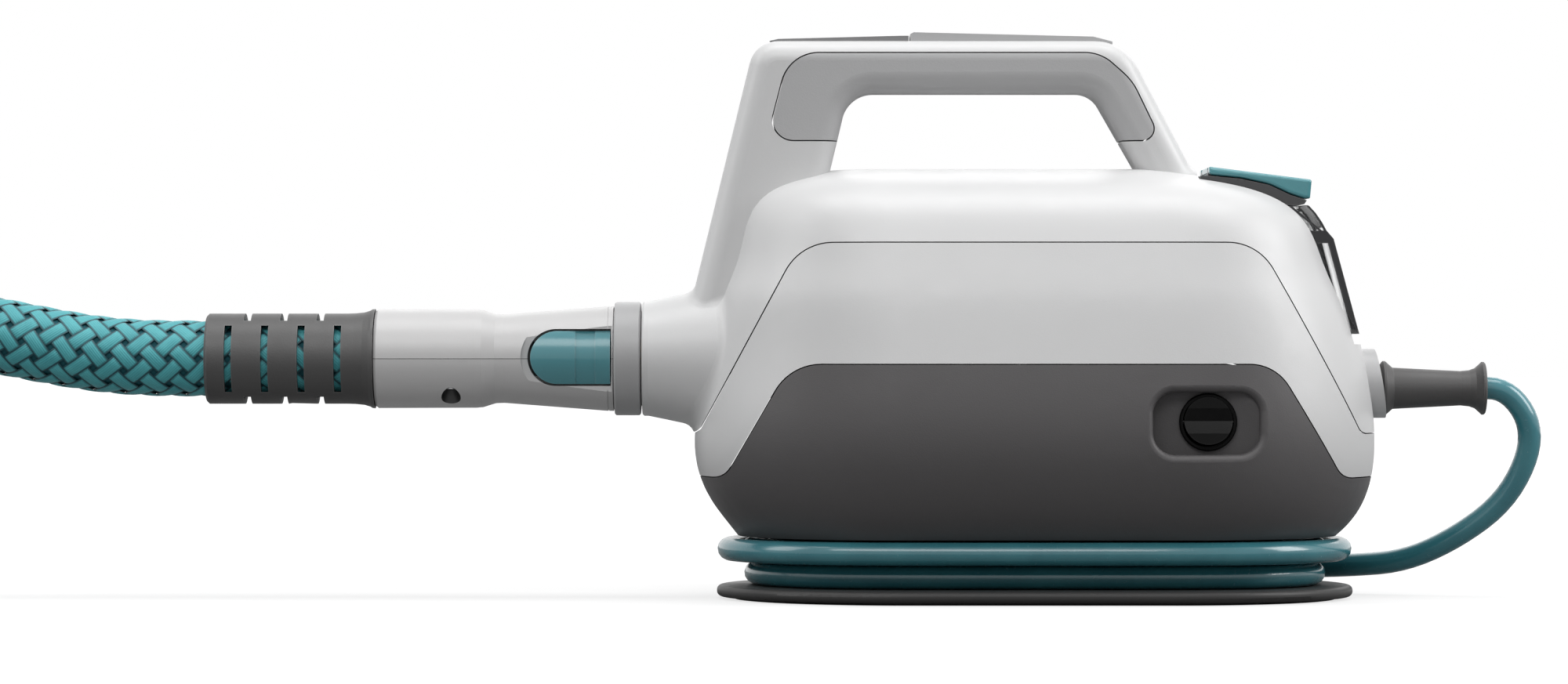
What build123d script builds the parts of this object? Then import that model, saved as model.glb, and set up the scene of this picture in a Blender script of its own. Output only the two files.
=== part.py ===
from build123d import *

import math
import os

# A hand-held steam cleaner, in millimetres. +X points to the mains cord, -X to the steam hose,
# -Y to the power switch side and +Z up. The origin is the centre of the underside of the foot pad.

# Body shell: its plan is a slot at each height, given as height, left end, right end, half depth.
BODY_PLANS = [
    (21.9, -103.0, 104.5, 55.7),
    (32.4, -111.1, 113.3, 64.0),
    (42.6, -116.2, 116.8, 68.4),
    (58.0, -117.9, 117.8, 69.9),
    (80.0, -113.8, 115.0, 66.0),
    (106.7, -109.2, 106.8, 59.0),
    (126.0, -103.3, 99.6, 51.5),
    (134.0, -100.8, 94.2, 47.0),
    (141.0, -94.8, 82.5, 39.0),
    (146.7, -80.5, 59.0, 22.0),
    (148.6, -60.0, 44.0, 10.0),
]
BODY_BOTTOM = BODY_PLANS[0][0]
WALL = 2.6
SEAM = 0.4  # gap between two shells along a seam
FIT = 0.3  # gap between curved or sliding faces of different bodies
SNUG = 0.05  # gap around a pin, screw or cable that is held
ON_SURFACE = 0.02  # how near an edge is to a face that it lies on

# Seams of the three shells, as outlines in the XZ plane that run out past both ends.
UPPER_SEAM_TOP = 122.8
UPPER_SEAM_END = 57.6
LOWER_SEAM_TOP = 81.5
LOWER_SEAM_END = 42.6
SEAM_REACH = 200.0

# Handle, as an outline in the XZ plane with a constant depth.
HANDLE_TOP = 193.2
HANDLE_HALF_DEPTH = 16.0
HANDLE_EDGE_R = 7.0
OPENING_TOP = 175.3
HANDLE_WALL = 4.0
GRIP_BOTTOM = 158.7
GRIP_TOP = 188.7
GRIP_SEAM = 0.45
BUTTON_LEFT = -43.5
BUTTON_RIGHT = 26.8
BUTTON_HALF_WIDTH = 10.0
BUTTON_TRAVEL = 2.5
STRIP_LEFT = -92.0
NECK_BLEND = 5.0

# Steam hose line: port, connector, relief boot and hose share one axis along X.
HOSE_Z = 83.2
PORT_FACE_X = -136.1
PORT_R = 19.9
PORT_WALL = 2.1
NECK_ROOT_R = 28.0
SPIGOT_R = 7.0
SPIGOT_BORE_R = 3.5
SPIGOT_TIP_X = -156.0
CONNECTOR_GAP = 0.6
COLLAR_LENGTH = 9.0
COLLAR_R = 19.7
CONNECTOR_SPLIT = 0.2
SOCKET_R = 8.4
BARB_R = 8.0
FLANGE_FRONT_X, FLANGE_BACK_X = -178.0, -181.4
BARB_TIP_X = -238.0
SLEEVE_END_X = -228.7
BOOT_R = 15.7
BOOT_END_X = -287.3
BOOT_SLOT = 2.5
BOOT_PITCH = 12.6
HOSE_R = 13.3
HOSE_BORE_R = 8.05
HOSE_START_X = -212.0
HOSE_TURN_R = 150.0
HOSE_RETURN_RUN = 150.0
HOSE_ROUTE = [
    (HOSE_START_X, 0.0, HOSE_Z),
    (-316.5, 0.0, HOSE_Z),
    (-384.0, 0.0, 96.7),
    (-435.7, -3.6, 92.2),
    (-483.3, -11.1, 72.7),
    (-523.8, -20.4, 41.4),
    (-569.2, -34.3, 20.3),
    (-617.6, -51.9, HOSE_R),
    (-659.9, -67.3, HOSE_R),
]
FITTING_LENGTH = 78.0
FITTING_R = 17.0
NOZZLE_R = 13.0
NOZZLE_LENGTH = 26.0
NOZZLE_BORE_R = 6.0

# Hose release button on the connector's switch side.
RELEASE_LEFT = -174.5
RELEASE_RIGHT = -147.0
RELEASE_BOTTOM = 74.5
RELEASE_TOP = 92.8
RELEASE_DISH_Y = -14.2
RELEASE_BACK_Y = -12.2
RELEASE_CURVE_R = 16.6
RELEASE_BAND_LEFT, RELEASE_BAND_RIGHT = -159.0, -152.2
RELEASE_GAP = 0.7
RELEASE_SPRING_X = -157.5
CONNECTOR_SCREW_X = -202.1
BOOT_FIRST_SLOT_X = -241.3

# Base: foot pad, plate, hub, and the mains cord wound on the hub in two layers.
PAD_THICK = 0.8
PLATE_THICK = 4.0
PLATE_LEFT, PLATE_RIGHT, PLATE_HALF = -110.3, 110.3, 64.0
CORD_R = 4.0
PLATE_TOP = PAD_THICK + PLATE_THICK
LAYER_TOP = 13.1
FLANK = 48.0  # half length of the straight flank of the hub and of every turn
LOWER_TURN_HALF = 52.8
UPPER_TURN_HALF = 62.1
HUB_HALF = 16.0
HUB_WALL = 3.0
COIL_GAP = 0.2

# Mains cord, its strain relief and its boss.
RELIEF_Z = 72.9
BOSS_Z = 74.6
BOSS_R = 12.0
RELIEF_FACE_X = 119.4
RELIEF_TIP_X = 156.5
RELIEF_FLANGE_R = 9.5
LEAD_ROUTE = [
    (104.0, 0.0, RELIEF_Z),
    (163.0, 0.0, RELIEF_Z),
    (173.5, 0.8, 59.0),
    (171.0, 3.0, 43.0),
    (157.5, 8.0, 29.5),
    (139.0, 16.5, 18.8),
    (119.5, 29.0, 12.2),
    (98.0, 42.5, 9.2),
    (74.0, 49.0, 9.2),
]
TAIL_ROUTE = [
    (66.0, 58.1, 17.2),
    (40.0, 59.5, 16.6),
    (16.0, 66.5, 13.0),
    (-5.0, 81.0, 9.8),
    (-26.0, 92.0, 9.0),
    (-44.0, 92.0, 9.0),
]
PLUG_SIDE = 48.0
PLUG_THICK = 18.0
PIN_PITCH = 22.2
PIN_LENGTH = 17.7
EARTH_LENGTH = 22.7

# Power switch in a recess of the lower shell.
SWITCH_X = 55.7
SWITCH_Z = 62.0
SWITCH_FLOOR_Y = -61.5
RECESS_RIM = 2.0
ROCKER_R = 8.1
BEZEL_R = 9.8
BARREL_R = 9.3
ROCKER_PIN_R = 1.0
ROCKER_TILT = 8.0

# Water tank in the mains cord end, with its lid and filler flap.
TANK_HALF = 21.0
FRAME_HALF = 22.2
BAY_HALF = 22.6
TANK_LEFT = 56.0
TANK_FLOOR = 88.5
TANK_WALL = 2.0
BAY_WALL = 1.8
FRAME_THICK = 2.2
RAIL_THICK = 0.9
COLLAR_LOW, COLLAR_HIGH = 123.0, 127.3
FRAME_TIP_CUT = [(104.0, 102.8), (111.6, 90.25), (111.6, 80.0), (100.0, 80.0)]
TANK_END = [(103.0, 84.0), (107.3, TANK_FLOOR), (110.7, 91.8), (101.9, 124.5), (99.4, 127.4),
            (97.9, 130.2), (95.7, 133.4), (92.2, 137.2), (80.0, 149.3)]
OUTLET_X = 80.0
OUTLET_R = 5.0
FLAP_PIN_X, FLAP_PIN_Z = 60.65, 147.95
FLAP_PIN_R = 0.75
KNUCKLE_R = 1.45
KNUCKLE_IN, KNUCKLE_OUT = 12.0, 16.0
FLAP_HALF = 22.0
FLAP_EDGE_R = 1.2
FLAP_UNDERSIDE = [(59.2, 146.5), (69.8, 145.5), (79.6, 143.4), (87.1, 139.9), (92.0, 138.3)]
FILLER_X = 74.0
FILLER_R = 8.0

# Steam works inside the body.
BOILER_LEFT, BOILER_RIGHT, BOILER_HALF = -74.0, 22.0, 31.0
BOILER_BOTTOM = 45.0
BOILER_LOWER_H = 16.0
GASKET_H = 1.5
BOILER_UPPER_H = 17.5
STEAM_OUT_Z = 71.0
PIPE_R = 4.0
WATER_PIPE_R = 3.0
PUMP_X = OUTLET_X
PUMP_BOTTOM = 30.0
PUMP_R = 7.0
COIL_SIDE = 32.0
ELEMENT_R = 3.2
SCREW_R = 1.8
HEAD_R = 3.4
HOUSING_SCREWS = [(-84.0, -28.0), (-84.0, 28.0), (45.0, -42.0), (45.0, 42.0)]
POST_SPLIT = 61.0

os.makedirs("parts", exist_ok=True)


def save(name, shape):
    export_step(shape, f"parts/{name}.step")


def group(solids):
    return Compound(children=list(solids))


# ---------------------------------------------------------------- shared shapes


def slot_solid(plans):
    faces = []
    for height, left, right, half in plans:
        middle = Location(((left + right) / 2, 0, height))
        faces.append(middle * SlotOverall(right - left, 2 * half))
    return loft(faces)


def slot_block(left, right, half, low, high):
    block = SlotOverall(right - left, 2 * half)
    return Location(((left + right) / 2, 0, low)) * extrude(block, high - low)


def body_solid(inset=0.0):
    plans = []
    last = len(BODY_PLANS) - 1
    for index, (height, left, right, half) in enumerate(BODY_PLANS):
        below = BODY_PLANS[max(index - 1, 0)]
        above = BODY_PLANS[min(index + 1, last)]
        rise, spread = above[0] - below[0], above[3] - below[3]
        length = math.hypot(rise, spread)
        side = inset * rise / length
        plans.append((height + inset * spread / length, left + side, right - side, half - side))
    return slot_solid(plans)


def outline(points):
    return make_face(Plane.XZ * Polyline(*points, close=True))


def rounded_outline(points, radii):
    """A closed outline in the XZ plane, each corner with its own radius."""
    face = make_face(Polyline(*points, close=True))
    for point, radius in zip(points, radii):
        if radius:
            corner = face.vertices().sort_by_distance(Vector(point[0], point[1], 0))[0]
            face = fillet(corner, radius)
    return Plane.XZ * face


def prism(face, low, high):
    """The XZ face carried from y = low to y = high."""
    return Location((0, low, 0)) * extrude(face, high - low, dir=(0, 1, 0))


def block(x0, x1, y0, y1, z0, z1):
    middle = Location(((x0 + x1) / 2, (y0 + y1) / 2, (z0 + z1) / 2))
    return middle * Box(abs(x1 - x0), abs(y1 - y0), abs(z1 - z0))


def rod_x(radius, x0, x1, y=0.0, z=HOSE_Z):
    return Location(((x0 + x1) / 2, y, z), (0, 90, 0)) * Cylinder(radius, abs(x1 - x0))


def rod_y(radius, y0, y1, x, z):
    return Location((x, (y0 + y1) / 2, z), (90, 0, 0)) * Cylinder(radius, abs(y1 - y0))


def rod_z(radius, z0, z1, x=0.0, y=0.0):
    return Location((x, y, (z0 + z1) / 2)) * Cylinder(radius, abs(z1 - z0))


def turned_x(points, z=HOSE_Z):
    """A solid of revolution about the X direction from (x, radius) points."""
    face = make_face(Polyline(*[(x, radius) for x, radius in points], close=True))
    return Location((0, 0, z)) * revolve(Plane.XZ * face, Axis.X)


def tube_path(points, name):
    """Straight runs joined by arcs as large as their two runs allow."""
    places = [Vector(*point) for point in points]
    radii = []
    for before, corner, after in zip(places, places[1:], places[2:]):
        run = min((corner - before).length, (after - corner).length)
        turn = math.radians((corner - before).get_angle(after - corner))
        radii.append(0.45 * run / math.tan(turn / 2))
    print(name, "arc radii", [round(radius, 1) for radius in radii])
    return FilletPolyline(*places, radius=radii)


def tube(points, radius, name, bore=0.0):
    path = tube_path(points, name)
    start = Plane(path @ 0, z_dir=path % 0)
    section = start * Circle(radius)
    if bore:
        section -= start * Circle(bore)
    solid = sweep(section, path)
    print(name, "volume share", round(solid.volume / (section.area * path.length), 4),
          "length", round(path.length, 1))
    return solid


def spring(radius, wire, height, turns):
    helix = Helix(pitch=(height - 2 * wire) / turns, height=height - 2 * wire, radius=radius)
    coil = sweep(Plane(helix @ 0, z_dir=helix % 0) * Circle(wire), helix)
    return Location((0, 0, wire)) * coil


# ---------------------------------------------------------------- body shells


def seam_outline(grow, top, end, left_low, left_high, right_high, right_low, radii):
    """Everything below a seam: level at both ends, sloping up to a level top."""
    points = [
        (-SEAM_REACH, -SEAM_REACH), (-SEAM_REACH, end), (left_low, end), (left_high, top),
        (right_high, top), (right_low, end), (SEAM_REACH, end), (SEAM_REACH, -SEAM_REACH),
    ]
    face = rounded_outline(points, [0, 0, radii[0], radii[1], radii[2], radii[3], 0, 0])
    return prism(offset(face, grow, kind=Kind.INTERSECTION) if grow else face, -100, 100)


def below_upper_seam(grow=0.0):
    return seam_outline(grow, UPPER_SEAM_TOP, UPPER_SEAM_END, -116.6, -81.3, 74.0, 110.5,
                        [4.0, 18.0, 18.0, 4.0])


def below_lower_seam(grow=0.0):
    return seam_outline(grow, LOWER_SEAM_TOP, LOWER_SEAM_END, -107.4, -84.7, 78.7, 103.0,
                        [7.0, 18.0, 16.0, 7.0])


def handle_outline():
    """An arch: outer edge over the top, inner edge around the finger opening, feet in the body."""
    points = [(-120.5, 97.0), (-97.0, HANDLE_TOP), (30.5, HANDLE_TOP), (54.4, 147.6), (66.0, 146.0),
              (66.0, 130.0), (45.7, 130.0), (19.7, OPENING_TOP), (-64.6, OPENING_TOP), (-73.5, 138.0),
              (-73.5, 97.0)]
    return rounded_outline(points, [0, 10.0, 16.5, 8.0, 0, 0, 0, 9.0, 10.7, 0, 0])


def handle_solid():
    arch = prism(handle_outline(), -HANDLE_HALF_DEPTH, HANDLE_HALF_DEPTH)
    edges = arch.faces().filter_by(Axis.Y).edges()
    return fillet([edge for edge in edges if abs(edge.tangent_at(0.5).Z) > 0.01
                   or edge.center().Z > OPENING_TOP - 1], HANDLE_EDGE_R)


def handle_hollow():
    half = HANDLE_HALF_DEPTH - HANDLE_WALL
    return prism(offset(handle_outline(), -HANDLE_WALL, kind=Kind.INTERSECTION), -half, half)


def grip_zone(grow=0.0):
    points = [(-60.0, GRIP_BOTTOM), (-92.8, GRIP_BOTTOM), (-85.0, GRIP_TOP), (22.0, GRIP_TOP),
              (33.0, 179.0), (42.8, GRIP_BOTTOM), (24.0, GRIP_BOTTOM), (14.0, 172.0), (-55.0, 172.0)]
    face = rounded_outline(points, [0, 7.0, 13.0, 14.0, 20.0, 4.0, 0, 0, 0])
    half = HANDLE_HALF_DEPTH + 1
    return prism(offset(face, grow, kind=Kind.INTERSECTION) if grow else face, -half, half)


def neck_solid():
    return turned_x([(PORT_FACE_X, 0), (PORT_FACE_X, PORT_R - 0.6), (PORT_FACE_X + 0.6, PORT_R),
                     (-134.0, PORT_R), (-95.0, NECK_ROOT_R), (-95.0, 0)])


def neck_hollow():
    inside = PORT_FACE_X + PORT_WALL
    return (rod_x(PORT_R - 2.7, inside, -98.0)
            + rod_x(PORT_R - 7.0, PORT_FACE_X - 1, inside + 1))


def tank_envelope(inset=0.0):
    """Everything on the body's side of the tank's outer end."""
    end = [(x - inset, z) for x, z in TANK_END]
    return prism(outline([(0.0, end[0][1])] + end + [(0.0, end[-1][1])]), -BAY_HALF, BAY_HALF)


def tank_bay_zone(grow=0.0):
    """The room that the tank, its lid and its flap take out of the upper shell."""
    half = BAY_HALF + grow
    points = [(TANK_LEFT - FIT - grow, 160.0), (TANK_LEFT - FIT - grow, TANK_FLOOR - FIT - grow),
              (114.0, TANK_FLOOR - FIT - grow), (130.0, 92.5), (130.0, 160.0)]
    return prism(outline(points), -half, half)


def housing_posts():
    posts = [rod_z(4.5, POST_SPLIT + SEAM, 150.0, x, y) for x, y in HOUSING_SCREWS]
    holes = [rod_z(SCREW_R + SNUG, POST_SPLIT - 1, POST_SPLIT + 18, x, y) for x, y in HOUSING_SCREWS]
    room = body_solid(WALL / 2)
    return (posts[0] + posts[1:]) & room, holes


def lies_on(edge, solid):
    skin = solid.shells()[0]
    return all(skin.distance_to(edge @ share) < ON_SURFACE for share in (0.5, 0.2, 0.8))


def junction(joined, first, second):
    """The edges along which two solids meet."""
    return [edge for edge in joined.edges() if lies_on(edge, first) and lies_on(edge, second)]


def outer_solid():
    """Body, handle and neck in one: crisp creases at the handle feet, a fillet round the neck."""
    body, neck = body_solid(), neck_solid()
    joined = body + handle_solid()
    with_neck = joined + neck
    return body, fillet(junction(with_neck, joined, neck), NECK_BLEND)


def make_shells():
    inside = body_solid(WALL)
    body, outer = outer_solid()
    shell = outer - inside - handle_hollow() - neck_hollow()
    posts, holes = housing_posts()

    upper = shell + posts - below_upper_seam(SEAM / 2) - holes
    upper -= grip_zone(GRIP_SEAM)
    upper -= tank_bay_zone()
    upper -= block(BUTTON_LEFT, BUTTON_RIGHT, -BUTTON_HALF_WIDTH, BUTTON_HALF_WIDTH,
                   GRIP_TOP - 2 * FIT - BUTTON_TRAVEL, HANDLE_TOP + 1)
    upper -= rod_x(BOSS_R - 3.0, 105.0, 125.0, z=BOSS_Z)
    save("upper_housing", biggest(upper))

    grip = (handle_solid() & grip_zone()) - handle_hollow()
    save("handle_grip", biggest(grip))

    middle = (body - inside) & below_upper_seam(-SEAM / 2)
    save("mid_housing", biggest(middle - below_lower_seam(SEAM / 2)))

    lower = (body - inside) & below_lower_seam(-SEAM / 2)
    save("lower_shell", biggest(lower_details(lower, body)))


def biggest(shape):
    return sorted(shape.solids(), key=lambda solid: solid.volume)[-1]


def switch_recess():
    """A steep-sided well; its mouth is rounded once it is cut into the shell."""
    levels = [(SWITCH_FLOOR_Y, 36.0, 20.9, 7.5), (SWITCH_FLOOR_Y - 13.0, 36.8, 22.0, 8.0)]
    return loft([Location((SWITCH_X - 0.7, y, 61.5), (90, 0, 0)) * RectangleRounded(width, height, radius)
                 for y, width, height, radius in levels])


def lower_details(lower, body):
    """The recess for the switch, the posts and plinths inside, and the screw holes."""
    recess = switch_recess()
    backing = Location((SWITCH_X - 0.7, SWITCH_FLOOR_Y + 2.0, 61.4), (90, 0, 0)) * extrude(
        RectangleRounded(42.0, 27.0, 9.0), 14)
    lower += (backing & body_solid(WALL / 2)) & below_lower_seam(-SEAM / 2)
    lower = biggest(lower - recess)
    lower = Part() + fillet(junction(lower, recess, body), RECESS_RIM)
    lower -= rod_y(BARREL_R + SNUG, SWITCH_FLOOR_Y - 1, SWITCH_FLOOR_Y + 3, SWITCH_X, SWITCH_Z)

    room = body_solid(WALL / 2)
    for x, y in HOUSING_SCREWS:
        lower += rod_z(5.0, BODY_BOTTOM, POST_SPLIT, x, y) & room
    for x, y in boiler_feet():
        lower += rod_z(4.0, BODY_BOTTOM, BOILER_BOTTOM, x, y) & room
    lower += block(PUMP_X - 12, PUMP_X + 12, -12, 12, BODY_BOTTOM, PUMP_BOTTOM) & room
    lower += block(97.0, 109.0, -10, 10, BODY_BOTTOM, 48.0) & room
    for x, y in HOUSING_SCREWS:
        lower -= rod_z(SCREW_R + SNUG, BODY_BOTTOM - 1, POST_SPLIT + 1, x, y)
        lower -= rod_z(HEAD_R + FIT, BODY_BOTTOM - 1, 27.0, x, y)
    for x, y in hub_screws():
        lower -= rod_z(SCREW_R + SNUG, BODY_BOTTOM - 1, BODY_BOTTOM + 8, x, y)
    return lower


def boiler_feet():
    return [(x, y) for x in (BOILER_LEFT + 12, BOILER_RIGHT - 12) for y in (-25.0, 25.0)]


def hub_screws():
    return [(x, y) for x in (-50.0, 50.0) for y in (-8.0, 8.0)]


# ---------------------------------------------------------------- handle top and steam button


def make_handle_top():
    half = BUTTON_HALF_WIDTH - 0.2
    left, right = BUTTON_LEFT + 0.2, BUTTON_RIGHT - 0.2
    strip = outline([(STRIP_LEFT, HANDLE_TOP), (STRIP_LEFT + 3, HANDLE_TOP + 0.7),
                     (BUTTON_LEFT - 3, HANDLE_TOP + 1.8), (BUTTON_LEFT - SEAM, HANDLE_TOP + 1.8),
                     (BUTTON_LEFT - SEAM, HANDLE_TOP)])
    save("handle_top_strip", prism(strip, -half, half))

    cap = outline([(left, GRIP_TOP - FIT), (left, HANDLE_TOP + 2.4), (left + 1.2, HANDLE_TOP + 3.0),
                   (20.0, HANDLE_TOP + 1.5), (right, HANDLE_TOP - 0.2), (right, GRIP_TOP - FIT)])
    button = prism(cap, -half, half)
    button += block(left - 2, right - 4, -11.4, 11.4, GRIP_TOP - FIT - 2.0, GRIP_TOP - FIT)
    save("steam_button", button)

    seat = OPENING_TOP + HANDLE_WALL
    top = GRIP_TOP - FIT - 2.0
    coils = [Location((x, 0, seat)) * spring(4.0, 0.4, top - seat, 4) for x in button_springs()]
    save("button_springs", group(coils))

    switch = block(-8.0, 8.0, -3.5, 3.5, seat, top - BUTTON_TRAVEL - 0.6)
    switch += rod_z(1.2, top - BUTTON_TRAVEL - 0.6, top - BUTTON_TRAVEL - 0.1, 3.0)
    save("steam_microswitch", switch)


def button_springs():
    return (-32.0, 16.0)


# ---------------------------------------------------------------- hose port and connector


def make_port():
    inner_x = PORT_FACE_X + PORT_WALL
    spigot = turned_x([
        (-103.0, SPIGOT_BORE_R), (-103.0, SPIGOT_R - 1.5), (inner_x + 3.5, SPIGOT_R - 1.5),
        (inner_x + 3.5, PORT_R - 3.0), (inner_x, PORT_R - 3.0), (inner_x, SPIGOT_R),
        (-148.8, SPIGOT_R), (-148.8, SPIGOT_R - 1.0), (-151.2, SPIGOT_R - 1.0),
        (-151.2, SPIGOT_R), (SPIGOT_TIP_X + 0.8, SPIGOT_R), (SPIGOT_TIP_X, SPIGOT_R - 0.8),
        (SPIGOT_TIP_X, SPIGOT_BORE_R)])
    save("port_spigot", spigot)
    seal = Location((-150.0, 0, HOSE_Z), (0, 90, 0)) * Torus(SPIGOT_R + 0.05, 1.0)
    save("port_seal", seal)


def connector_halves():
    face = PORT_FACE_X - CONNECTOR_GAP
    collar_end = face - COLLAR_LENGTH
    outer = turned_x([
        (face + 0.3, 13.0), (face + 0.3, 16.4), (collar_end - SEAM, 16.4), (collar_end - SEAM, 18.2),
        (-147.7, 18.15), (-147.7, 17.8), (-148.0, 17.8), (-148.0, 18.15), (-149.0, 18.1),
        (-184.0, 15.4), (-187.0, 15.5), (-191.5, 16.9), (-194.0, 17.1), (SLEEVE_END_X + 1.0, 17.2), (SLEEVE_END_X, 16.4), (SLEEVE_END_X, 15.0),
        (-208.0, 15.0), (-208.0, 8.0), (-196.0, 8.0), (-196.0, 10.8), (FLANGE_BACK_X - 0.1, 10.8),
        (FLANGE_BACK_X - 0.1, 12.8), (FLANGE_FRONT_X + 0.1, 12.8), (FLANGE_FRONT_X + 0.1, 10.8),
        (-143.0, 10.8), (-143.0, 13.0)])
    zone = release_outline(3.4)
    dish = prism(zone, -30, RELEASE_DISH_Y)
    well = Location((-RELEASE_GAP / 2, 0, 0)) * prism(release_outline(RELEASE_GAP), -30, -9.0)
    body = outer - dish - well
    for y in (-10.6, 10.6):
        body -= rod_z(3.3, HOSE_Z - 25, HOSE_Z - 8.2, CONNECTOR_SCREW_X, y)
        body -= rod_z(1.5 + SNUG, HOSE_Z - 9, HOSE_Z + 9.0, CONNECTOR_SCREW_X, y)
    cut = CONNECTOR_SPLIT / 2
    upper = body & block(-240, -130, -25, 25, HOSE_Z + cut, HOSE_Z + 25)
    lower = body & block(-240, -130, -25, 25, HOSE_Z - 25, HOSE_Z - cut)
    return biggest(upper), biggest(lower)


def release_outline(grow=0.0):
    left, right = RELEASE_LEFT - grow, RELEASE_RIGHT + min(grow, 0.6)
    low, high = RELEASE_BOTTOM - grow, RELEASE_TOP + grow
    middle, half = (low + high) / 2, (high - low) / 2
    face = make_face(
        Polyline((left + half, high), (right, high), (right, low), (left + half, low))
        + ThreePointArc((left + half, low), (left, middle), (left + half, high)))
    return Plane.XZ * face


def make_connector():
    upper, lower = connector_halves()
    save("connector_upper_half", upper)
    save("connector_lower_half", lower)
    face = PORT_FACE_X - CONNECTOR_GAP
    ring = rod_x(COLLAR_R, face, face - COLLAR_LENGTH) - rod_x(16.6, face + 1, face - COLLAR_LENGTH - 1)
    ring = chamfer(ring.edges().filter_by(GeomType.CIRCLE).group_by(SortBy.RADIUS)[-1], 0.5)
    save("connector_collar", ring)

    screws = []
    for y in (-10.6, 10.6):
        head = rod_z(2.9, HOSE_Z - 10.4, HOSE_Z - 8.2, CONNECTOR_SCREW_X, y)
        slot = block(CONNECTOR_SCREW_X - 0.4, CONNECTOR_SCREW_X + 0.4, y - 2, y + 2,
                     HOSE_Z - 10.5, HOSE_Z - 9.4)
        screws.append(head + rod_z(1.5, HOSE_Z - 8.2, HOSE_Z + 8.5, CONNECTOR_SCREW_X, y) - slot)
    save("connector_screws", group(screws))

    barb = turned_x([
        (-143.6, SOCKET_R), (-143.6, 10.6), (FLANGE_FRONT_X, 10.6), (FLANGE_FRONT_X, 12.6),
        (FLANGE_BACK_X, 12.6), (FLANGE_BACK_X, 7.4), (-212.5, 7.4), (-213.0, BARB_R), (-220.0, 7.3),
        (-220.0, BARB_R), (-228.0, 7.3), (-228.0, BARB_R), (BARB_TIP_X, 6.6), (BARB_TIP_X, 4.5),
        (-160.0, 4.5), (-160.0, SOCKET_R)])
    save("hose_barb", barb)

    cap = prism(release_outline(), -RELEASE_CURVE_R, RELEASE_BACK_Y)
    cap &= rod_x(RELEASE_CURVE_R, -180, -140)
    cap -= (rod_x(RELEASE_CURVE_R + 1, RELEASE_BAND_LEFT, RELEASE_BAND_RIGHT)
            - rod_x(RELEASE_CURVE_R - 0.5, RELEASE_BAND_LEFT, RELEASE_BAND_RIGHT))
    cap -= rod_y(3.2, RELEASE_BACK_Y + 1, RELEASE_BACK_Y - 2.2, RELEASE_SPRING_X, HOSE_Z)
    save("release_button", cap)
    length = abs(RELEASE_BACK_Y - 2.2) - 10.65
    coil = spring(2.4, 0.3, length, 3)
    save("release_spring", Location((RELEASE_SPRING_X, -10.65, HOSE_Z), (90, 0, 0)) * coil)


def make_boot():
    inner_r = HOSE_R + 0.1
    boot = turned_x([
        (-208.4, inner_r), (-208.4, 14.7), (SLEEVE_END_X - 0.3, 14.7), (SLEEVE_END_X - 0.3, 17.3),
        (SLEEVE_END_X - 1.2, 17.2), (SLEEVE_END_X - 2.0, 16.7), (SLEEVE_END_X - 4.0, 16.1),
        (SLEEVE_END_X - 7.0, 15.8), (SLEEVE_END_X - 10.0, BOOT_R), (BOOT_END_X + 0.8, BOOT_R),
        (BOOT_END_X, BOOT_R - 0.8), (BOOT_END_X, inner_r)])
    side = BOOT_FIRST_SLOT_X
    for index in range(4):
        x = side - index * BOOT_PITCH
        slot = block(x - BOOT_SLOT / 2, x + BOOT_SLOT / 2, -30, 30, HOSE_Z - 11.5, HOSE_Z + 11.5)
        boot -= slot
    for index in range(3):
        x = side - (index + 0.5) * BOOT_PITCH
        slot = block(x - BOOT_SLOT / 2, x + BOOT_SLOT / 2, -8.5, 8.5, HOSE_Z - 30, HOSE_Z + 30)
        boot -= slot
    save("hose_relief_boot", biggest(boot))


def make_hose():
    save("hose_lead", tube(HOSE_ROUTE, HOSE_R, "hose_lead", HOSE_BORE_R))
    before, end = Vector(*HOSE_ROUTE[-2]), Vector(*HOSE_ROUTE[-1])
    heading = (end - before).normalized()
    across = Vector(heading.Y, -heading.X, 0)
    centre = end + across * HOSE_TURN_R
    first = math.degrees(math.atan2(-across.Y, -across.X))
    back_to_x = math.degrees(math.atan2(heading.Y, heading.X)) % 360
    arc = CenterArc(tuple(centre), HOSE_TURN_R, first, -back_to_x)
    run = Line(arc @ 1, (arc @ 1) + (arc % 1) * HOSE_RETURN_RUN)
    route = Wire([arc.edge(), run.edge()])
    start = Plane(route @ 0, z_dir=route % 0)
    ring = sweep(start * (Circle(HOSE_R) - Circle(HOSE_BORE_R)), route)
    print("hose turn centre", tuple(centre), "length", route.length, "starts", tuple(route @ 0))
    save("hose_coil", ring)

    # The fitting that takes a tool lies past the end of the return run, in line with it.
    tip = run @ 1
    nose = run % 1
    base = Plane(Vector(tip.X, tip.Y, FITTING_R + 0.2), z_dir=nose, x_dir=(0, 0, 1))
    profile = [(SNUG, 0), (SNUG, 14.6), (3.0, 16.0), (6.0, FITTING_R), (44.0, FITTING_R), (50.0, 15.2),
               (FITTING_LENGTH - NOZZLE_LENGTH, 15.2), (FITTING_LENGTH - NOZZLE_LENGTH, NOZZLE_R),
               (FITTING_LENGTH - 1.0, NOZZLE_R), (FITTING_LENGTH, NOZZLE_R - 1.0),
               (FITTING_LENGTH, NOZZLE_BORE_R), (20.0, NOZZLE_BORE_R), (20.0, 0)]
    shape = revolve(make_face(Polyline(*[(0, radius, along) for along, radius in profile], close=True)),
                    Axis.Z)
    save("hose_end_fitting", base.location * shape)
    print("fitting from", tuple(base.origin), "to", tuple(base.origin + nose * FITTING_LENGTH))


# ---------------------------------------------------------------- base, mains cord and plug


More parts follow.
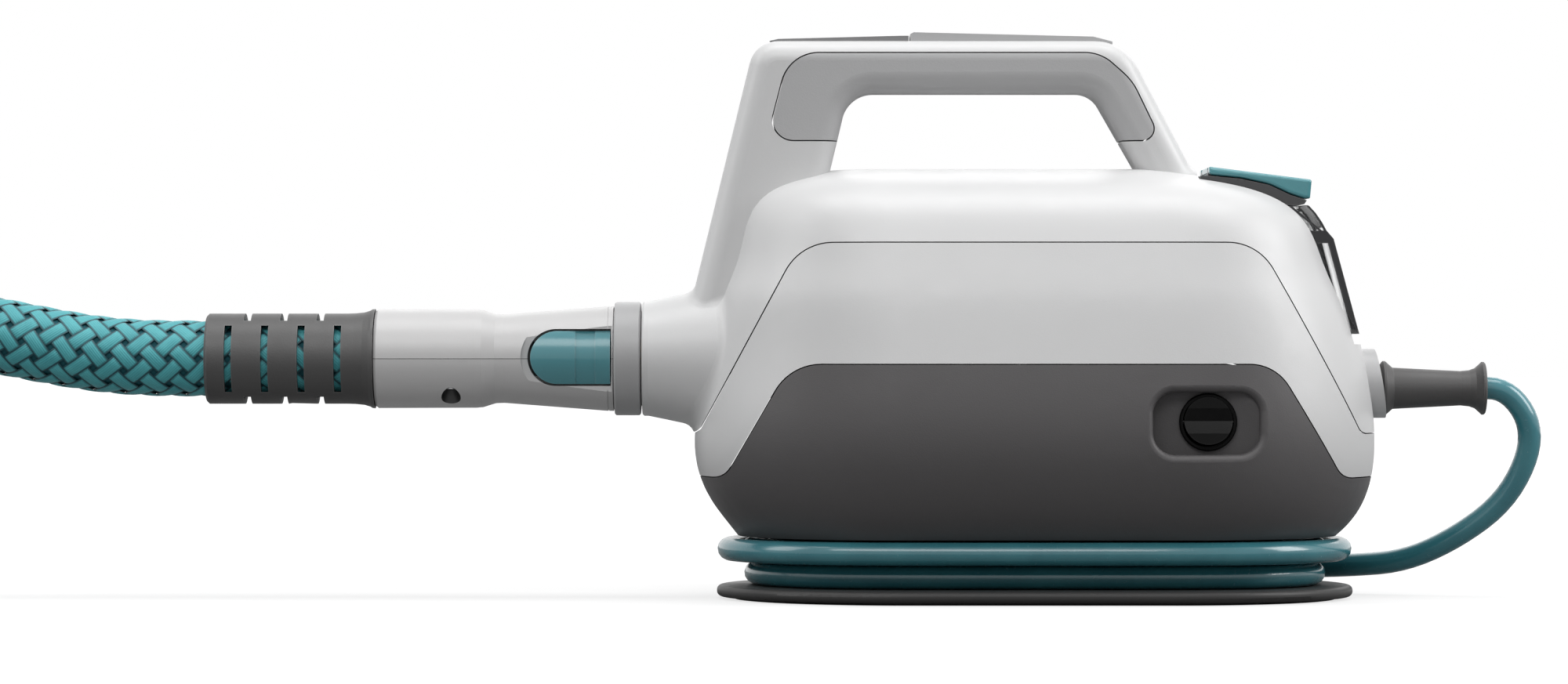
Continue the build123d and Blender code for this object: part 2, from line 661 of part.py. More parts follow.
def make_base():
    plate = slot_block(PLATE_LEFT, PLATE_RIGHT, PLATE_HALF, PAD_THICK, PLATE_TOP)
    rims = plate.faces().filter_by(Axis.Z).edges()
    plate = fillet(rims, 1.8)
    for x, y in hub_screws():
        plate -= rod_z(SCREW_R + SNUG, 0, PLATE_TOP + 1, x, y)
        plate -= rod_z(HEAD_R + SNUG, 0, PAD_THICK + 2.2, x, y)
    save("base_plate", plate)

    pad = slot_block(PLATE_LEFT + 6, PLATE_RIGHT - 6, PLATE_HALF - 6, 0.0, PAD_THICK)
    pad -= slot_block(PLATE_LEFT + 22, PLATE_RIGHT - 22, PLATE_HALF - 22, -1, PAD_THICK + 1)
    save("foot_pad", pad)

    pocket = HUB_HALF - HUB_WALL
    hub = slot_block(-FLANK - HUB_HALF, FLANK + HUB_HALF, HUB_HALF, PLATE_TOP, BODY_BOTTOM)
    hub -= slot_block(-FLANK - pocket, FLANK + pocket, pocket, PLATE_TOP + 2.5, BODY_BOTTOM - 2.5)
    for x, y in hub_screws():
        hub += rod_z(4.0, PLATE_TOP, BODY_BOTTOM, x, y) - rod_z(SCREW_R + SNUG, 0, 50, x, y)
        hub -= rod_z(SCREW_R + SNUG, 0, 50, x, y)
    save("cord_hub", hub)

    screws = []
    for x, y in hub_screws():
        screw = rod_z(SCREW_R, PAD_THICK + 2.2, BODY_BOTTOM + 7.5, x, y)
        screws.append(screw + rod_z(HEAD_R, PAD_THICK + 0.4, PAD_THICK + 2.2, x, y))
    save("base_screws", group(screws))

    screws = []
    for x, y in HOUSING_SCREWS:
        screw = rod_z(SCREW_R, 27.0, POST_SPLIT + 16, x, y)
        screws.append(screw + rod_z(HEAD_R, 24.8, 27.0, x, y))
    save("housing_screws", group(screws))


def make_cord():
    layers = [(LOWER_TURN_HALF, PLATE_TOP + COIL_GAP, LAYER_TOP),
              (UPPER_TURN_HALF, LAYER_TOP, BODY_BOTTOM - COIL_GAP)]
    rings = []
    for outer, low, high in layers:
        ring = slot_block(-FLANK - outer, FLANK + outer, outer, low, high)
        rings.append(fillet(ring.faces().filter_by(Axis.Z).edges(), 3.0))
    inner = HUB_HALF + COIL_GAP
    room = slot_block(-FLANK - inner, FLANK + inner, inner, PLATE_TOP - 1, BODY_BOTTOM + 1)
    save("mains_cord_coil", rings[0] + rings[1] - room)
    save("mains_cord_lead", tube(LEAD_ROUTE, CORD_R, "mains_lead"))
    save("mains_cord_tail", tube(TAIL_ROUTE, CORD_R, "mains_tail"))

    boss = rod_x(BOSS_R, 108.0, 124.0, z=BOSS_Z) - body_solid()
    low, high = BOSS_Z - BOSS_R - 1, BOSS_Z + BOSS_R + 1
    boss -= prism(outline([(117.9, high), (122.1, low), (140, low), (140, high)]), -20, 20)
    boss = biggest(boss) - rod_x(8.2, 100.0, 130.0, z=RELIEF_Z)
    boss -= rod_x(RELIEF_FLANGE_R + FIT, RELIEF_FACE_X - 1.0, 130.0, z=RELIEF_Z)
    save("cord_boss", boss)

    relief = turned_x([
        (104.0, CORD_R + SNUG), (104.0, 7.6), (108.0, 7.6), (108.0, 7.0), (RELIEF_FACE_X - 0.4, 7.0),
        (RELIEF_FACE_X + 1.6, RELIEF_FLANGE_R), (RELIEF_FACE_X + 2.4, RELIEF_FLANGE_R),
        (RELIEF_FACE_X + 5.0, 7.2),
        (148.0, 6.0), (151.0, 6.3), (153.0, 7.0), (154.6, 8.4), (155.4, 9.2), (RELIEF_TIP_X - 0.4, 9.2),
        (RELIEF_TIP_X, 8.8),
        (RELIEF_TIP_X, CORD_R + SNUG)], z=RELIEF_Z)
    save("cord_strain_relief", relief)

    clamp = block(98.6, 103.6, -9, 9, RELIEF_Z - 8, RELIEF_Z + 8) - rod_x(CORD_R + SNUG, 98, 105, z=RELIEF_Z)
    save("cord_clamp", clamp)
    save("terminal_block", block(97.5, 108.5, -9.5, 9.5, 48.0, 58.0))


def make_plug():
    entry = Vector(*TAIL_ROUTE[-1])
    right, left = entry.X, entry.X - PLUG_SIDE
    y0, y1 = entry.Y - PLUG_SIDE / 2, entry.Y + PLUG_SIDE / 2
    body = block(left, right, y0, y1, 0.0, PLUG_THICK)
    body = fillet(body.edges().filter_by(Axis.Z), 11.0)
    body = fillet(body.faces().sort_by(Axis.Z)[0].edges(), 3.0)
    save("plug_body", body)
    live_x = right - 15.0
    pins = []
    for y in (entry.Y - PIN_PITCH / 2, entry.Y + PIN_PITCH / 2):
        pins.append(block(live_x - 2, live_x + 2, y - 3.2, y + 3.2, PLUG_THICK, PLUG_THICK + PIN_LENGTH))
    pins.append(block(live_x - PIN_PITCH - 4, live_x - PIN_PITCH + 4, entry.Y - 2, entry.Y + 2,
                      PLUG_THICK, PLUG_THICK + EARTH_LENGTH))
    save("plug_pins", group(pins))


# ---------------------------------------------------------------- power switch


def make_switch():
    bezel = rod_y(BEZEL_R, SWITCH_FLOOR_Y, SWITCH_FLOOR_Y - 1.8, SWITCH_X, SWITCH_Z)
    bezel = chamfer(bezel.faces().sort_by(Axis.Y)[0].edges(), 0.5)
    barrel = rod_y(BARREL_R, SWITCH_FLOOR_Y, SWITCH_FLOOR_Y + 13.5, SWITCH_X, SWITCH_Z)
    hole = rod_y(ROCKER_R + 0.5, SWITCH_FLOOR_Y - 3, SWITCH_FLOOR_Y + 5, SWITCH_X, SWITCH_Z)
    pin_hole = rod_x(ROCKER_PIN_R + FIT, SWITCH_X - BARREL_R, SWITCH_X + BARREL_R, SWITCH_FLOOR_Y, SWITCH_Z)
    save("switch_body", bezel + barrel - hole - pin_hole)

    rocker = rod_y(ROCKER_R, SWITCH_FLOOR_Y - 3.4, SWITCH_FLOOR_Y + 2.0, SWITCH_X, SWITCH_Z)
    for tilt in (-ROCKER_TILT, ROCKER_TILT):
        edge = Location((SWITCH_X, SWITCH_FLOOR_Y - 3.4 + 0.6, SWITCH_Z), (tilt, 0, 0))
        sign = 1 if tilt > 0 else -1
        rocker -= edge * Location((0, -4.0, sign * 10.0)) * Box(30, 8.0, 20.0)
    pin_reach = BARREL_R - FIT
    rocker += rod_x(ROCKER_PIN_R, SWITCH_X - pin_reach, SWITCH_X + pin_reach, SWITCH_FLOOR_Y, SWITCH_Z)
    pivot = Axis((SWITCH_X, SWITCH_FLOOR_Y, SWITCH_Z), (1, 0, 0))
    save("power_rocker", rocker.rotate(pivot, -ROCKER_TILT))


# ---------------------------------------------------------------- water tank and filler flap


def tank_outline(inset=0.0):
    """The tank seen from the side, below its lid; the envelope rounds the outer end."""
    points = [(TANK_LEFT, 143.0), (66.0, 141.4), (76.0, 138.6), (84.0, 135.8), (88.4, 135.6),
              (91.9, 136.1), (130.0, 136.1), (130.0, TANK_FLOOR), (TANK_LEFT, TANK_FLOOR)]
    face = outline(points)
    return offset(face, -inset, kind=Kind.INTERSECTION) if inset else face


def make_tank():
    low, high = TANK_FLOOR - 5, 150.0
    behind_frame = tank_envelope(FRAME_THICK + 0.1)
    shoulder = tank_envelope() & block(50, 130, -40, 40, COLLAR_HIGH + 0.1, high)
    room = (behind_frame & block(50, 130, -40, 40, low, COLLAR_HIGH + 0.1)) + shoulder
    tank = prism(tank_outline(), -TANK_HALF, TANK_HALF) & room
    hollow_half = TANK_HALF - TANK_WALL
    hollow = prism(tank_outline(TANK_WALL), -hollow_half, hollow_half)
    tank -= hollow & tank_envelope(FRAME_THICK + TANK_WALL)
    tank -= rod_z(FILLER_R, 125.0, 160.0, FILLER_X)
    tank += rod_z(OUTLET_R, TANK_FLOOR - 7, TANK_FLOOR + 0.5, OUTLET_X)
    tank -= rod_z(OUTLET_R - 1.6, TANK_FLOOR - 8, TANK_FLOOR + 5, OUTLET_X)
    save("water_tank", biggest(tank))

    valve = rod_z(OUTLET_R - 1.8, TANK_FLOOR - 6, TANK_FLOOR - 1, OUTLET_X)
    valve += rod_z(1.2, TANK_FLOOR - 1, TANK_FLOOR + 6, OUTLET_X)
    valve += rod_z(4.6, TANK_FLOOR + TANK_WALL + 0.3, TANK_FLOOR + 6, OUTLET_X)
    save("tank_valve", valve)

    skin = tank_envelope() - tank_envelope(FRAME_THICK)
    strip = skin & block(90, 130, -FRAME_HALF, FRAME_HALF, TANK_FLOOR + 3.0, COLLAR_HIGH)
    strip -= rod_window()
    strip -= prism(outline(FRAME_TIP_CUT), -FRAME_HALF - 1, FRAME_HALF + 1)
    frame = biggest(strip)
    for side in (-1, 1):
        inner, outer = side * (TANK_HALF + SNUG), side * FRAME_HALF
        cheek = block(91.0, 104.0, inner, outer, COLLAR_LOW, COLLAR_HIGH) & tank_envelope()
        rail = block(80.0, 104.0, inner, outer, COLLAR_LOW, 135.9) & (tank_envelope() - tank_envelope(RAIL_THICK))
        brace = prism(outline([(86.6, 135.5), (97.4, 126.9), (98.4, 126.9), (87.4, 135.9)]),
                      min(inner, outer), max(inner, outer))
        frame += cheek + rail + brace
    save("tank_frame", biggest(frame))


def rod_window():
    """The slot in the frame that shows the water level."""
    return block(90, 130, -7.0, 7.0, 99.0, 119.0)


def make_lid():
    top = [(TANK_LEFT, 146.1)] + [(x, z - 0.35) for x, z in FLAP_UNDERSIDE] + [(92.7, 137.7)]
    bottom = [(91.8, 136.4), (88.4, 135.9), (84.0, 136.2), (76.0, 139.0), (66.0, 141.8),
              (TANK_LEFT, 143.4)]
    lid = prism(outline(top + bottom), -FRAME_HALF, FRAME_HALF)
    lid -= rod_z(FILLER_R, 120.0, 160.0, FILLER_X)
    flap = flap_solid()
    for side in (-1, 1):
        y0, y1 = side * (KNUCKLE_IN + FIT), side * (KNUCKLE_OUT - FIT)
        lid += block(FLAP_PIN_X - KNUCKLE_R, FLAP_PIN_X + KNUCKLE_R, y0, y1, 144.5, FLAP_PIN_Z)
        lid += rod_y(KNUCKLE_R, y0, y1, FLAP_PIN_X, FLAP_PIN_Z)
        flap -= block(FLAP_PIN_X - 5, FLAP_PIN_X + KNUCKLE_R + 2 * FIT, side * KNUCKLE_IN, side * KNUCKLE_OUT,
                      140, 155)
    lid -= rod_y(FLAP_PIN_R + SNUG, -30, 30, FLAP_PIN_X, FLAP_PIN_Z)
    save("tank_lid", biggest(lid))
    pin_reach = KNUCKLE_OUT + 2.0
    save("flap_hinge_pin", rod_y(FLAP_PIN_R, -pin_reach, pin_reach, FLAP_PIN_X, FLAP_PIN_Z))
    pin_reach += FIT
    save("filler_flap", flap - rod_y(FLAP_PIN_R + SNUG, -pin_reach, pin_reach, FLAP_PIN_X, FLAP_PIN_Z))

    seal = rod_z(FILLER_R - 1.6, 141.0, FLAP_PIN_Z, FILLER_X) - flap_solid()
    save("filler_seal", biggest(seal))


def flap_solid():
    """A wedge that thickens towards its outer edge."""
    points = FLAP_UNDERSIDE + [(93.9, 138.4), (94.5, 144.9), (59.2, 149.4)]
    flap = prism(rounded_outline(points, [1.4, 0, 20.0, 12.0, 1.0, 0.5, 0.8, 0.5]), -FLAP_HALF, FLAP_HALF)
    sides = [edge for edge in flap.edges() if edge.center().Z > 146 and edge.length > FLAP_HALF
             and abs(edge.center().Y) > FLAP_HALF - 1]
    return fillet(sides, FLAP_EDGE_R)


def make_bay():
    """The liner under the tank and the cup that takes its outlet."""
    half = BAY_HALF
    left, floor = TANK_LEFT - FIT, TANK_FLOOR - FIT
    under = floor - BAY_WALL
    outer = prism(outline([(left - BAY_WALL, 142.0), (left - BAY_WALL, under), (112.0, under),
                           (112.0, floor), (90.0, 131.0)]), -half - BAY_WALL, half + BAY_WALL)
    liner = outer & body_solid(WALL + SEAM)
    liner -= block(left, 130, -half, half, floor, 160)
    liner -= rod_z(OUTLET_R + 2.4, floor - 5, floor + 5, OUTLET_X)
    for x, y in HOUSING_SCREWS:
        liner -= rod_z(4.8, 60, 150, x, y)
    save("tank_bay", biggest(liner))

    cup_top = floor
    cup = rod_z(OUTLET_R + 2.3, cup_top - 10, cup_top, OUTLET_X)
    cup += rod_z(OUTLET_R + 4.5, cup_top - BAY_WALL - 1.6, cup_top - BAY_WALL, OUTLET_X)
    cup -= rod_z(OUTLET_R + FIT, cup_top - 8, cup_top + 1, OUTLET_X)
    cup -= rod_z(WATER_PIPE_R - 1.2, cup_top - 11, cup_top - 7, OUTLET_X)
    cup += (rod_z(WATER_PIPE_R, cup_top - 15, cup_top - 10, OUTLET_X)
            - rod_z(WATER_PIPE_R - 1.2, cup_top - 16, cup_top - 9, OUTLET_X))
    save("tank_socket", cup)


# ---------------------------------------------------------------- boiler and pump


def make_boiler():
    middle_x, length = (BOILER_LEFT + BOILER_RIGHT) / 2, BOILER_RIGHT - BOILER_LEFT
    seat = BOILER_BOTTOM + BOILER_LOWER_H
    top_start = seat + GASKET_H
    top = top_start + BOILER_UPPER_H

    def plate(low, high, shrink=0.0):
        outline_2d = RectangleRounded(length - 2 * shrink, 2 * BOILER_HALF - 2 * shrink, 10 - shrink)
        return Location((middle_x, 0, low)) * extrude(outline_2d, high - low)

    holes = [rod_z(SCREW_R + SNUG, BOILER_BOTTOM + 4, top + 1, x, y) for x, y in boiler_screws()]
    lower = plate(BOILER_BOTTOM, seat) - plate(seat - 8, seat + 1, 8.0) - holes
    save("boiler_lower", lower)
    gasket = plate(seat, top_start) - plate(seat - 1, top_start + 1, 8.0) - holes
    save("boiler_gasket", gasket)
    upper = plate(top_start, top) - plate(top_start - 1, top - 5, 8.0) - holes
    upper += rod_x(PIPE_R + 1, BOILER_LEFT - 6, BOILER_LEFT + 1, z=STEAM_OUT_Z)
    upper -= rod_x(PIPE_R - 1.5, BOILER_LEFT - 8, BOILER_LEFT + 10, z=STEAM_OUT_Z)
    save("boiler_upper", upper)
    screws = []
    for x, y in boiler_screws():
        screw = rod_z(SCREW_R, BOILER_BOTTOM + 5, top, x, y)
        screws.append(screw + rod_z(HEAD_R, top, top + 2.2, x, y))
    save("boiler_screws", group(screws))

    # The heating element is a U of tube brazed under the lower half.
    z, y, r = BOILER_BOTTOM - ELEMENT_R, 16.0, ELEMENT_R
    bend_x = BOILER_LEFT + 26
    element = rod_x(r, bend_x, BOILER_RIGHT + 8, -y, z) + rod_x(r, bend_x, BOILER_RIGHT + 8, y, z)
    bend = Location((bend_x, 0, z)) * Torus(y, r)
    element += bend & block(bend_x - 40, bend_x, -40, 40, 0, 100)
    save("heating_element", biggest(element))

    cup = rod_z(8.0, top, top + 5, -45.0, 0.0) + block(-48, -42, -12, 12, top, top + 0.8)
    save("thermostat", cup)
    fuse = rod_y(2.2, -8, 8, -5.0, top + 2.2) + block(-8.0, -2.0, -3, 3, top, top + 1.0)
    save("thermal_fuse", fuse)
    pipe_start = BOILER_LEFT - 6
    route = [(pipe_start, 0, STEAM_OUT_Z), (-89.0, 0, STEAM_OUT_Z), (-94.5, 0, HOSE_Z), (-103.0, 0, HOSE_Z)]
    save("steam_pipe", tube(route, PIPE_R, "steam_pipe", PIPE_R - 1.2))


def boiler_screws():
    edge = BOILER_HALF - 4
    middle_x = (BOILER_LEFT + BOILER_RIGHT) / 2
    return [(x, y) for x in (BOILER_LEFT + 8, middle_x, BOILER_RIGHT - 8) for y in (-edge, edge)]


def make_pump():
    pipe_top = TANK_FLOOR - FIT - 15
    barrel = rod_z(PUMP_R, PUMP_BOTTOM, 65.0, PUMP_X)
    barrel += rod_z(WATER_PIPE_R, 65.0, 69.0, PUMP_X)
    barrel += rod_x(WATER_PIPE_R, PUMP_X - 16, PUMP_X, z=PUMP_BOTTOM + 4)
    save("pump_barrel", barrel)
    half = COIL_SIDE / 2
    low = PUMP_BOTTOM + 8
    coil = block(PUMP_X - half, PUMP_X + half, -half, half, low, low + 24)
    coil -= rod_z(PUMP_R + SNUG, low - 1, low + 25, PUMP_X)
    save("pump_coil", coil)
    foot = block(PUMP_X - 12, PUMP_X + 12, -12, 12, PUMP_BOTTOM, low) - rod_z(
        PUMP_R + SNUG, PUMP_BOTTOM - 1, low + 1, PUMP_X)
    foot -= rod_x(WATER_PIPE_R + SNUG, PUMP_X - 17, PUMP_X, z=PUMP_BOTTOM + 4)
    save("pump_mount", foot)
    save("tank_water_pipe", rod_z(WATER_PIPE_R, 69.0, pipe_top, PUMP_X)
         - rod_z(WATER_PIPE_R - 1.2, 68.0, pipe_top + 1, PUMP_X))
    low_z, high_z = PUMP_BOTTOM + 4, BOILER_BOTTOM + 10
    route = [(PUMP_X - 16, 0, low_z), (50.0, 0, low_z), (38.0, 0, 44.0), (34.0, 0, high_z),
             (BOILER_RIGHT, 0, high_z)]
    save("boiler_water_pipe", tube(route, WATER_PIPE_R, "boiler_water_pipe", WATER_PIPE_R - 1.2))


make_shells()
make_handle_top()
make_port()
make_connector()
make_boot()
make_hose()
make_base()
make_cord()
make_plug()
make_switch()
make_tank()
make_lid()
make_bay()
make_boiler()
make_pump()
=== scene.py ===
import math

import bmesh
import bpy
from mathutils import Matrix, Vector


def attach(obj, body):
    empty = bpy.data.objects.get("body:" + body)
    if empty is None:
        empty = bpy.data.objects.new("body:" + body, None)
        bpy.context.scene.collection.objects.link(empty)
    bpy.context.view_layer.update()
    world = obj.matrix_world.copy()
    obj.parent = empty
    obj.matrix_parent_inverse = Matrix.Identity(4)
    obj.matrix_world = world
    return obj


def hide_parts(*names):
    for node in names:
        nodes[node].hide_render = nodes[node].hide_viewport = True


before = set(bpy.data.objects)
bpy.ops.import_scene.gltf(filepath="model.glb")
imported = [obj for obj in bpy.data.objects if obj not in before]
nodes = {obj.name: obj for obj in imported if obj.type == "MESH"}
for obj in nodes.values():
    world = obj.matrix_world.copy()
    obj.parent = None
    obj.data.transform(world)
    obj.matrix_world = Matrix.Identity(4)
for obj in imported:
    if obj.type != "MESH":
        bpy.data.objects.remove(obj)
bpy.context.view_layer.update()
scene = bpy.context.scene


# ------------------------------------------------------------ base plate, foot pad and cord hub
# The foot of the cleaner is a moulded plate of dark polypropylene with a soft pad under it. It is
# screwed up through the hub, round which the mains cord is stored. All are satin mouldings.

def new_group(name, inputs, outputs):
    """A shader node group with named inputs and outputs, and its own group nodes."""
    tree = bpy.data.node_groups.new(name, "ShaderNodeTree")
    for label, kind, value in inputs:
        tree.interface.new_socket(label, in_out="INPUT", socket_type=kind).default_value = value
    for label, kind in outputs:
        tree.interface.new_socket(label, in_out="OUTPUT", socket_type=kind)
    return tree, tree.nodes.new("NodeGroupInput"), tree.nodes.new("NodeGroupOutput")


def noise(tree, vector, scale, detail=2.0, rough=0.5):
    node = tree.nodes.new("ShaderNodeTexNoise")
    node.inputs["Scale"].default_value = scale
    node.inputs["Detail"].default_value = detail
    node.inputs["Roughness"].default_value = rough
    tree.links.new(vector, node.inputs["Vector"])
    return node.outputs["Fac"]


def remap(tree, value, low, high, to_low, to_high):
    node = tree.nodes.new("ShaderNodeMapRange")
    for label, number in (("From Min", low), ("From Max", high), ("To Min", to_low), ("To Max", to_high)):
        node.inputs[label].default_value = number
    tree.links.new(value, node.inputs["Value"])
    return node.outputs["Result"]


def feed(tree, socket, value):
    """Sets a socket to a plain value, or links another node's output to it."""
    if isinstance(value, (int, float, tuple)):
        socket.default_value = value
    else:
        tree.links.new(value, socket)


def math_node(tree, operation, *values):
    node = tree.nodes.new("ShaderNodeMath")
    node.operation = operation
    for socket, value in zip(node.inputs, values):
        feed(tree, socket, value)
    return node.outputs[0]


def mix_colour(tree, share, first, second, blend="MIX"):
    node = tree.nodes.new("ShaderNodeMix")
    node.data_type = "RGBA"
    node.blend_type = blend
    for index, value in ((0, share), (6, first), (7, second)):
        feed(tree, node.inputs[index], value)
    return node.outputs[2]


def object_coordinates(tree):
    return tree.nodes.new("ShaderNodeTexCoord").outputs["Object"]


def moulding_group():
    """Spark-eroded grain, slow drift of shade, and corners polished by handling."""
    tree, given, out = new_group("moulded_surface", [
        ("Color", "NodeSocketColor", (0.5, 0.5, 0.5, 1.0)),
        ("Roughness", "NodeSocketFloat", 0.4),
        ("Grain Scale", "NodeSocketFloat", 2600.0),
        ("Drift", "NodeSocketFloat", 0.05),
        ("Edge Light", "NodeSocketFloat", 0.12),
        ("Edge Radius", "NodeSocketFloat", 0.0006),
    ], [("Color", "NodeSocketColor"), ("Roughness", "NodeSocketFloat"), ("Height", "NodeSocketFloat")])
    place = object_coordinates(tree)
    fine = tree.nodes.new("ShaderNodeTexNoise")
    fine.inputs["Detail"].default_value = 1.5
    tree.links.new(place, fine.inputs["Vector"])
    tree.links.new(given.outputs["Grain Scale"], fine.inputs["Scale"])

    bevel = tree.nodes.new("ShaderNodeBevel")
    bevel.samples = 3
    tree.links.new(given.outputs["Edge Radius"], bevel.inputs["Radius"])
    flat = tree.nodes.new("ShaderNodeNewGeometry")
    dot = tree.nodes.new("ShaderNodeVectorMath")
    dot.operation = "DOT_PRODUCT"
    tree.links.new(bevel.outputs["Normal"], dot.inputs[0])
    tree.links.new(flat.outputs["Normal"], dot.inputs[1])
    edge = remap(tree, dot.outputs["Value"], 0.98, 0.80, 0.0, 1.0)
    patchy = remap(tree, noise(tree, place, 260.0, 3.0), 0.35, 0.62, 0.2, 1.0)
    edge = math_node(tree, "MULTIPLY", edge, patchy)

    broad = noise(tree, place, 22.0, 3.0)
    drift = math_node(tree, "MULTIPLY", math_node(tree, "SUBTRACT", broad, 0.5), given.outputs["Drift"])
    shade = math_node(tree, "ADD", 1.0, drift)
    tinted = mix_colour(tree, 1.0, given.outputs["Color"], shade, "MULTIPLY")
    share = math_node(tree, "MULTIPLY", edge, given.outputs["Edge Light"])
    lit = mix_colour(tree, share, tinted, (1.0, 1.0, 1.0, 1.0))
    tree.links.new(lit, out.inputs["Color"])

    smear = remap(tree, noise(tree, place, 90.0, 4.0, 0.6), 0.3, 0.7, -0.05, 0.05)
    rough = math_node(tree, "ADD", given.outputs["Roughness"], smear)
    rough = math_node(tree, "SUBTRACT", rough, math_node(tree, "MULTIPLY", edge, 0.08))
    tree.links.new(rough, out.inputs["Roughness"])
    tree.links.new(fine.outputs["Fac"], out.inputs["Height"])
    return tree


MOULDING = moulding_group()


def new_material(name):
    material = bpy.data.materials.new(name)
    material.use_nodes = True
    shader = material.node_tree.nodes["Principled BSDF"]
    return material, material.node_tree, shader


def add_bump(tree, shader, height, depth, strength=1.0):
    bump = tree.nodes.new("ShaderNodeBump")
    bump.inputs["Distance"].default_value = depth
    bump.inputs["Strength"].default_value = strength
    tree.links.new(height, bump.inputs["Height"])
    tree.links.new(bump.outputs["Normal"], shader.inputs["Normal"])


def grouped_material(name, surface, settings, bump_depth, bump_strength=1.0):
    """A material whose colour, roughness and relief come from a surface group."""
    material, tree, shader = new_material(name)
    group = tree.nodes.new("ShaderNodeGroup")
    group.node_tree = surface
    for label, value in settings.items():
        group.inputs[label].default_value = value
    tree.links.new(group.outputs["Color"], shader.inputs["Base Color"])
    tree.links.new(group.outputs["Roughness"], shader.inputs["Roughness"])
    add_bump(tree, shader, group.outputs["Height"], bump_depth, bump_strength)
    return material, shader


def moulded(name, colour, roughness=0.4, grain_depth=0.00002, grain_scale=2600.0, drift=0.05,
            edge_light=0.12, specular=0.5, coat=0.0):
    """A moulded plastic or rubber. Coat is the share of a clear gloss skin."""
    material, shader = grouped_material(name, MOULDING, {
        "Color": (*colour, 1.0), "Roughness": roughness, "Grain Scale": grain_scale, "Drift": drift,
        "Edge Light": edge_light}, grain_depth)
    shader.inputs["Specular IOR Level"].default_value = specular
    shader.inputs["Coat Weight"].default_value = coat
    shader.inputs["Coat Roughness"].default_value = 0.08
    return material


def dress(material, *names):
    """Gives CAD nodes their finish."""
    for name in names:
        mesh = nodes[name].data
        mesh.materials.clear()
        mesh.materials.append(material)


dress(moulded("plate_plastic", (0.040, 0.039, 0.039), 0.45, drift=0.10, specular=0.3),
      "base_plate", "cord_hub")
dress(moulded("pad_rubber", (0.030, 0.030, 0.030), 0.75, 0.00006, 900.0, 0.2), "foot_pad")


def metal_group():
    """Turned or drawn metal: lines along one direction, and stains that dull it."""
    tree, given, out = new_group("drawn_metal", [
        ("Color", "NodeSocketColor", (0.6, 0.6, 0.6, 1.0)),
        ("Stain Color", "NodeSocketColor", (0.2, 0.18, 0.16, 1.0)),
        ("Stain", "NodeSocketFloat", 0.3),
        ("Roughness", "NodeSocketFloat", 0.3),
    ], [("Color", "NodeSocketColor"), ("Roughness", "NodeSocketFloat"), ("Height", "NodeSocketFloat")])
    place = object_coordinates(tree)
    stretch = tree.nodes.new("ShaderNodeMapping")
    stretch.inputs["Scale"].default_value = (300.0, 300.0, 6000.0)
    tree.links.new(place, stretch.inputs["Vector"])
    lines = noise(tree, stretch.outputs["Vector"], 1.0, 2.0)
    spots = remap(tree, noise(tree, place, 210.0, 5.0, 0.65), 0.45, 0.75, 0.0, 1.0)
    share = math_node(tree, "MULTIPLY", spots, given.outputs["Stain"])
    tree.links.new(mix_colour(tree, share, given.outputs["Color"], given.outputs["Stain Color"]),
                   out.inputs["Color"])
    rough = math_node(tree, "ADD", given.outputs["Roughness"], math_node(tree, "MULTIPLY", share, 0.4))
    tree.links.new(rough, out.inputs["Roughness"])
    tree.links.new(lines, out.inputs["Height"])
    return tree


METAL = metal_group()


def metal(name, colour, roughness, stain=0.3, stain_colour=(0.2, 0.18, 0.16)):
    """A bare metal. Stain is how strongly its spots are dulled."""
    material, shader = grouped_material(name, METAL, {
        "Color": (*colour, 1.0), "Stain Color": (*stain_colour, 1.0), "Stain": stain,
        "Roughness": roughness}, 0.00001, 0.6)
    shader.inputs["Metallic"].default_value = 1.0
    return material


ZINC = metal("zinc_plated_steel", (0.56, 0.57, 0.58), 0.34)
dress(ZINC, "base_screws", "housing_screws")


# ------------------------------------------------------------ steam works inside the body
# A cast aluminium boiler with a steel heating element under it, a gasket between its halves, and a
# small solenoid pump that lifts water from the tank. Silicone pipes join them. None of it shows.

dress(metal("cast_aluminium", (0.66, 0.66, 0.67), 0.48, 0.5, (0.36, 0.35, 0.34)),
      "boiler_lower", "boiler_upper")
dress(metal("heat_stained_steel", (0.34, 0.31, 0.28), 0.38, 0.7, (0.12, 0.09, 0.12)), "heating_element")
dress(ZINC, "boiler_screws")
dress(moulded("gasket_rubber", (0.10, 0.02, 0.015), 0.6, 0.00004), "boiler_gasket")
dress(moulded("thermostat_phenolic", (0.05, 0.045, 0.04), 0.5), "thermostat", "terminal_block")
dress(metal("fuse_tin", (0.70, 0.70, 0.70), 0.25), "thermal_fuse")
dress(moulded("silicone_pipe", (0.62, 0.60, 0.55), 0.35, 0.00001, drift=0.1, specular=0.6),
      "steam_pipe", "boiler_water_pipe", "tank_water_pipe")
dress(moulded("pump_nylon", (0.55, 0.55, 0.52), 0.45), "pump_barrel", "pump_mount", "cord_clamp")


def copper_winding():
    """Enamelled copper wire, wound in level turns 0.6 mm apart, with painted shade in the grooves between
    the turns.
    """
    material, tree, shader = new_material("copper_winding")
    place = object_coordinates(tree)
    wave = tree.nodes.new("ShaderNodeTexWave")
    wave.bands_direction = "Z"
    wave.inputs["Scale"].default_value = 260.0
    wave.inputs["Distortion"].default_value = 0.4
    tree.links.new(place, wave.inputs["Vector"])
    # Painted shade: the wave darkens the grooves between the turns and leaves their crowns bright copper.
    colour = mix_colour(tree, wave.outputs["Fac"], (0.10, 0.025, 0.01, 1), (0.50, 0.17, 0.06, 1))
    tree.links.new(colour, shader.inputs["Base Color"])
    shader.inputs["Metallic"].default_value = 0.7
    shader.inputs["Roughness"].default_value = 0.32
    add_bump(tree, shader, wave.outputs["Fac"], 0.0002)
    return material


dress(copper_winding(), "pump_coil")


# ------------------------------------------------------------ lower shell and middle housing
# The body is three polypropylene shells clamped together by long screws: a dark grey tub below, a
# light grey band, and the white upper housing. Each is moulded in one piece with a satin texture.

